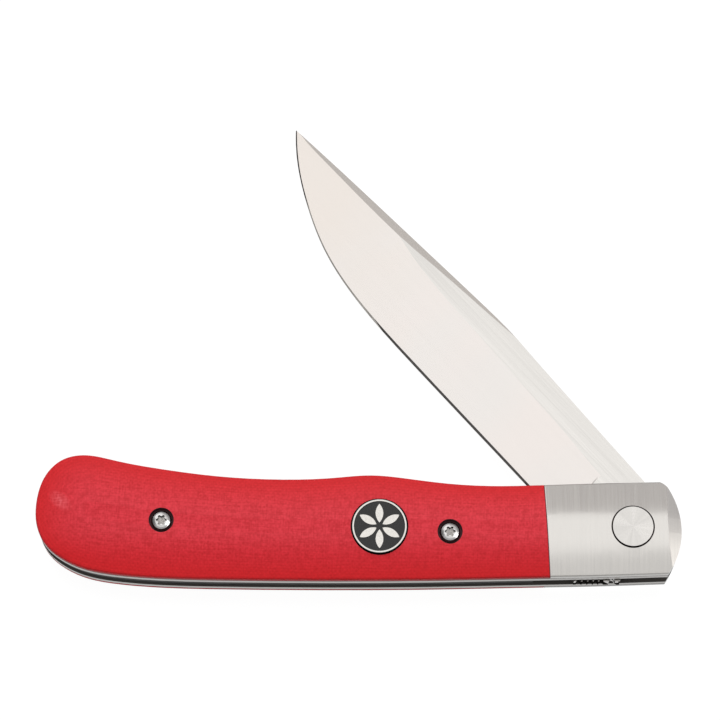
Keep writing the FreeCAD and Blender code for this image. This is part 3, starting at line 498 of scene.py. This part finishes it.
def pivotSteel():
    look = pivotLook
    mat, tree, shader = newFinish("pivot steel", look["roughness"], 1.0, look["color"])
    place, reach = aroundAxis(tree, (0, 0))
    point = tree.nodes.new("ShaderNodeVectorMath")
    point.operation = "NORMALIZE"
    tree.links.new(place, point.inputs[0])
    # painted sheen: broad soft sectors round the axis, lighter and darker
    sectors = noiseOf(tree, point.outputs["Vector"], scale=look["sectors"])
    ring = tree.nodes.new("ShaderNodeCombineXYZ")
    tree.links.new(mathOf(tree, "MULTIPLY", reach, look["rings"]), ring.inputs["X"])
    grain = blendOf(tree, sectors, noiseOf(tree, ring.outputs["Vector"]), look["ringShare"])
    dark, light = (scaled(look["color"], 1 + change) for change in (-look["spread"], look["spread"]))
    color = tonesOf(tree, grain, dark, light, look["span"])
    # painted shade: the walls darkened
    color = mixColors(tree, rangeOf(tree, facingOf(tree)[0], 1, 0, *look["wallBelow"]), color, look["wall"])
    tree.links.new(color, shader.inputs["Base Color"])
    roughFrom(tree, shader, grain, look["roughness"] - look["smoother"], look["roughness"] + look["rougher"],
              look["span"])
    bumpOf(tree, shader, grain, look["bump"], look["bumpDepth"])
    return mat


# domed screws, their reflections and shade painted in: a bright ring round the driver recess, a darker dome,
# a darker recess floor, black recess walls and a dim red rim
domeLook = {
    "ring": (0.93, 0.91, 0.89), "ringDull": 0.86, "ringReach": 1.14,
    "dome": (0.5, 0.485, 0.48), "rim": (0.3, 0.16, 0.17),
    "floor": (0.5, 0.475, 0.45), "floorDull": 0.6, "recessReach": 0.9, "recessDepth": (0.12, 0.15),
    "wall": (0.02, 0.018, 0.017), "wallBelow": (0.3, 0.5),
    "grain": 6000, "grainSpan": (0.35, 0.65),
    "roughness": 0.24, "roughShare": (0.8, 1.3), "bump": 0.05, "bumpDepth": 0.01,
}


def domeSteel(solid):
    look = domeLook
    mat, tree, shader = newFinish(f"{solid} steel", look["roughness"], 1.0, look["ring"])
    middle, low, high = middleOf(solid)
    top = high.z if solid.startswith("front") else low.z
    depth = mathOf(tree, "ABSOLUTE", placeOf(tree, move=(0, 0, -top))["Z"])
    inRecess = withinAxis(tree, middle, look["recessReach"])
    floor = allOf(tree, inRecess, rangeOf(tree, depth, 0, 1, *inMetres(look["recessDepth"])))
    grain = grainOf(tree, look["grain"], detail=3)
    ring = tonesOf(tree, grain, scaled(look["ring"], look["ringDull"]), look["ring"], look["grainSpan"])
    # painted shade: the recess floor darker and duller than the ring
    shadedFloor = tonesOf(tree, grain, scaled(look["floor"], look["floorDull"]), look["floor"], look["grainSpan"])
    # painted reflection: a bright ring round the recess, the dome beyond it darker
    color = mixColors(tree, withinAxis(tree, middle, look["ringReach"]), look["dome"], ring)
    color = mixColors(tree, floor, color, shadedFloor)
    wall = rangeOf(tree, facingOf(tree)[0], 1, 0, *look["wallBelow"])
    # painted shade: black walls in the recess; outside it a dim red rim, a painted reflection of the red
    # scale
    color = mixColors(tree, wall, color, mixColors(tree, inRecess, look["rim"], look["wall"]))
    tree.links.new(color, shader.inputs["Base Color"])
    dullOf(tree, shader, wall)
    roughFrom(tree, shader, grain, *(look["roughness"] * share for share in look["roughShare"]))
    bumpOf(tree, shader, grain, look["bump"], look["bumpDepth"])
    return mat


# backspacer: black laminate with a greyer grain
spacerLook = {
    "color": (0.026, 0.025, 0.024), "lighter": 1.9, "grain": (2500, 2500, 6000), "grainSpan": (0.35, 0.75),
    "roughness": 0.6, "roughSpan": (0.48, 0.66), "gloss": 0.2, "bump": 0.2, "bumpDepth": 0.05,
}


def blackLaminate():
    look = spacerLook
    mat, tree, shader = newFinish("black laminate", look["roughness"], 0.0, look["color"])
    grain = noiseOf(tree, placeCoords(tree, look["grain"]), detail=3)
    color = tonesOf(tree, grain, look["color"], scaled(look["color"], look["lighter"]), look["grainSpan"])
    tree.links.new(color, shader.inputs["Base Color"])
    roughFrom(tree, shader, grain, *look["roughSpan"])
    bumpOf(tree, shader, grain, look["bump"], look["bumpDepth"])
    shader.inputs["Specular IOR Level"].default_value = look["gloss"]
    return mat


# small pieces: plain metal or enamel with a fine grain
grainLook = {"grain": 4000, "span": (0.35, 0.65), "roughShare": (0.8, 1.25), "bump": 0.06, "bumpDepth": 0.02}
smallLook = {
    "screw steel": {"color": (0.72, 0.7, 0.68), "dull": 0.85, "roughness": 0.25, "metallic": 1.0},
    "washer bronze": {"color": (0.62, 0.42, 0.22), "dull": 0.85, "roughness": 0.35, "metallic": 1.0},
    "pin steel": {"color": (0.6, 0.59, 0.58), "dull": 0.85, "roughness": 0.25, "metallic": 1.0},
    "badge black": {"color": (0.012, 0.012, 0.012), "dull": 0.7, "roughness": 0.25, "metallic": 0.0},
}


def grained(name, look):
    mat, tree, shader = newFinish(name, look["roughness"], look["metallic"], look["color"])
    grain = grainOf(tree, grainLook["grain"], detail=3)
    roughFrom(tree, shader, grain, *(look["roughness"] * share for share in grainLook["roughShare"]))
    bumpOf(tree, shader, grain, grainLook["bump"], grainLook["bumpDepth"])
    dark = scaled(look["color"], look["dull"])
    return mat, tree, shader, tonesOf(tree, grain, dark, look["color"], grainLook["span"])


def smallFinish(name):
    mat, tree, shader, color = grained(name, smallLook[name])
    tree.links.new(color, shader.inputs["Base Color"])
    return mat


# badge: bright relief and rim; painted shade makes its walls and a ring outside the rim black
badgeLook = {
    "color": (0.88, 0.85, 0.8), "dull": 0.88, "roughness": 0.22, "metallic": 1.0,
    "groove": (0.02, 0.018, 0.017), "rim": (4.16, 4.38), "rimSoft": 0.03,
    "reliefEnd": (3.91, 3.96), "flatFrom": (0.3, 0.5),
}


def badgeMetal():
    look = badgeLook
    mat, tree, shader, color = grained("badge metal", look)
    away = aroundAxis(tree, middleOf("badge")[0])[1]
    rim = spanOf(tree, away, *inMetres((*look["rim"], look["rimSoft"])))
    relief = rangeOf(tree, away, 1, 0, *inMetres(look["reliefEnd"]))
    bright = allOf(tree, anyOf(tree, rim, relief), rangeOf(tree, facingOf(tree)[0], 0, 1, *look["flatFrom"]))
    # painted shade: walls and the ring outside the rim black
    tree.links.new(mixColors(tree, bright, look["groove"], color), shader.inputs["Base Color"])
    dullOf(tree, shader, notOf(tree, bright))
    return mat


domes = [f"{side}_{spot}_screw" for side in ("front", "rear") for spot in ("tail", "middle")]
screwHoles = [(solid, scaleLook["screwReach"], scaleLook["screwHoleShade"]) for solid in domes]
badgeHoleShade = ("badge", scaleLook["badgeReach"], scaleLook["badgeHoleShade"])
wearFinish(["front_scale"], redWeave("front weave", [*screwHoles[:2], badgeHoleShade]))
wearFinish(["rear_scale"], redWeave("rear weave", screwHoles[2:]))
wearFinish(["front_bolster"], bolsterSteel("front"))
wearFinish(["rear_bolster"], bolsterSteel("rear"))
wearFinish(["blade"], bladeSteel())
wearFinish(["front_liner", "rear_liner"], linerSteel())
wearFinish(["backspacer"], blackLaminate())
wearFinish(["pivot_barrel", "pivot_screw"], pivotSteel())
for solid in domes:
    wearFinish([solid], domeSteel(solid))
wearFinish([solid for solid in nodes if "screw_" in solid], smallFinish("screw steel"))
wearFinish(["front_washer", "rear_washer"], smallFinish("washer bronze"))
wearFinish(["stop_pin", "detent_ball"], smallFinish("pin steel"))
wearFinish(["badge"], badgeMetal())
wearFinish(["badge_enamel"], smallFinish("badge black"))
print("finishes on", len(nodes), "solids")


# floor, light and camera
def addObject(name, data):
    item = bpy.data.objects.new(name, data)
    bpy.context.scene.collection.objects.link(item)
    return item


def addPanel(name, points, faces, mat):
    mesh = bpy.data.meshes.new(name)
    mesh.from_pydata(points, [], faces)
    mesh.materials.append(mat)
    return addObject(name, mesh)


def seenOf(tree):
    # 1 for what is looked at, straight or in a mirror, and 0 for what only lights the knife
    path = tree.nodes.new("ShaderNodeLightPath")
    rays = ("Is Camera Ray", "Is Glossy Ray", "Is Transmission Ray")
    return anyOf(tree, *(path.outputs[ray] for ray in rays))


floorLook = {"size": 4.0, "drop": 0.2, "glow": 0.95, "tone": (0.12, 0.12, 0.12)}


def buildFloor():
    look = floorLook
    mat, tree, output = emptyMaterial("pale floor")
    diffuse = tree.nodes.new("ShaderNodeBsdfDiffuse")
    diffuse.inputs["Color"].default_value = (*look["tone"], 1)
    glow = tree.nodes.new("ShaderNodeEmission")
    tree.links.new(mathOf(tree, "MULTIPLY", seenOf(tree), look["glow"]), glow.inputs["Strength"])
    both = tree.nodes.new("ShaderNodeAddShader")
    tree.links.new(diffuse.outputs["BSDF"], both.inputs[0])
    tree.links.new(glow.outputs["Emission"], both.inputs[1])
    tree.links.new(both.outputs["Shader"], output.inputs["Surface"])
    half = look["size"] / 2
    corners = [(-half, -half, 0), (half, -half, 0), (half, half, 0), (-half, half, 0)]
    floor = addPanel("studioFloor", corners, [(0, 1, 2, 3)], mat)
    floor.location.z = -look["drop"] * mm


# cards round the table, seen only in the steel: each a sector of a dome, between two bearings and two heights
cardLook = {
    "backCard": {"bearing": (13, 93), "height": (9, 62), "reach": 1.1, "tone": (0.535, 0.52, 0.52)},
    "noseCard": {"bearing": (14, 60), "height": (0.3, 9), "reach": 1.15, "tone": (0.46, 0.455, 0.45)},
    "backLow": {"bearing": (60, 150), "height": (0.3, 9), "reach": 1.15, "tone": (0.12, 0.12, 0.12)},
    "leftCard": {"bearing": (150, 200), "height": (0.3, 50), "reach": 1.2, "tone": (0.25, 0.25, 0.25)},
    "frontCard": {"bearing": (-160, -32), "height": (35, 80), "reach": 1.2, "tone": (0.7, 0.7, 0.7)},
    "frontLow": {"bearing": (-160, -32), "height": (0.3, 35), "reach": 1.25, "tone": (0.5, 0.49, 0.48)},
    "rightCard": {"bearing": (-32, 10), "height": (0.3, 40), "reach": 1.3, "tone": (0.98, 0.965, 0.95)},
    "glintCard": {"bearing": (-30, 4), "height": (40, 54), "reach": 1.3, "tone": (6.0, 6.0, 6.0)},
}
cardSteps = 12


def buildCard(name, look):
    first, last = look["bearing"]
    lowest, highest = look["height"]
    points, faces = [], []
    for row in range(cardSteps + 1):
        height = math.radians(lowest + (highest - lowest) * row / cardSteps)
        flat = math.cos(height) * look["reach"]
        up = math.sin(height) * look["reach"]
        for column in range(cardSteps + 1):
            bearing = math.radians(first + (last - first) * column / cardSteps)
            points.append((flat * math.cos(bearing), flat * math.sin(bearing), up))
    for row in range(cardSteps):
        for column in range(cardSteps):
            corner = row * (cardSteps + 1) + column
            above = corner + cardSteps + 1
            faces.append((corner, corner + 1, above + 1, above))
    mat, tree, output = emptyMaterial(name)
    glow = tree.nodes.new("ShaderNodeEmission")
    glow.inputs["Color"].default_value = (*look["tone"], 1)
    tree.links.new(glow.outputs["Emission"], output.inputs["Surface"])
    card = addPanel(name, points, faces, mat)
    card.visible_camera = False
    card.visible_diffuse = False
    card.visible_shadow = False


worldLook = {"fill": 0.39, "seen": 1.0}


def buildWorld():
    world = bpy.data.worlds.new("studio")
    bpy.context.scene.world = world
    world.use_nodes = True
    tree = world.node_tree
    tree.nodes.clear()
    output = tree.nodes.new("ShaderNodeOutputWorld")
    pick = tree.nodes.new("ShaderNodeMixShader")
    tree.links.new(seenOf(tree), pick.inputs["Fac"])
    for socket, strength in ((pick.inputs[1], worldLook["fill"]), (pick.inputs[2], worldLook["seen"])):
        light = tree.nodes.new("ShaderNodeBackground")
        light.inputs["Color"].default_value = (1, 1, 1, 1)
        light.inputs["Strength"].default_value = strength
        tree.links.new(light.outputs["Background"], socket)
    tree.links.new(pick.outputs["Shader"], output.inputs["Surface"])


lampLook = [
    {"name": "overhead", "at": (-0.05, 0.42, 0.87), "size": 0.7, "power": 6.4},
    {"name": "side", "at": (-0.5, -0.5, 0.7), "size": 0.5, "power": 0.15},
]


def buildLamps(target):
    for look in lampLook:
        lamp = bpy.data.lights.new(look["name"], "AREA")
        lamp.shape = "SQUARE"
        lamp.size = look["size"]
        lamp.energy = look["power"]
        holder = addObject(look["name"], lamp)
        holder.location = look["at"]
        holder.visible_glossy = False  # metal mirrors the room, not the lamps
        aim = target - Vector(look["at"])
        holder.rotation_euler = aim.to_track_quat("-Z", "Y").to_euler()


cameraLook = {
    "target": (-44.285, 29.619, middlePlane), "distance": 560.0, "tilt": 16.0,
    "focal": 3371.7, "imageWidth": 720, "sensor": 36, "nearest": 10,
}


def buildCamera():
    look = cameraLook
    data = bpy.data.cameras.new("photo camera")
    camera = addObject("photo camera", data)
    tilt = math.radians(look["tilt"])
    target = Vector(look["target"]) * mm
    camera.location = target + Vector((0, -math.sin(tilt), math.cos(tilt))) * look["distance"] * mm
    camera.rotation_euler = (tilt, 0, 0)
    data.sensor_fit = "HORIZONTAL"
    data.sensor_width = look["sensor"]
    data.lens = look["focal"] / look["imageWidth"] * look["sensor"]
    data.clip_start = look["nearest"] * mm
    bpy.context.scene.camera = camera
    return target


buildFloor()
for name, look in cardLook.items():
    buildCard(name, look)
buildWorld()
buildLamps(buildCamera())
bpy.context.scene.view_settings.view_transform = "Standard"
print("floor, light and camera set")
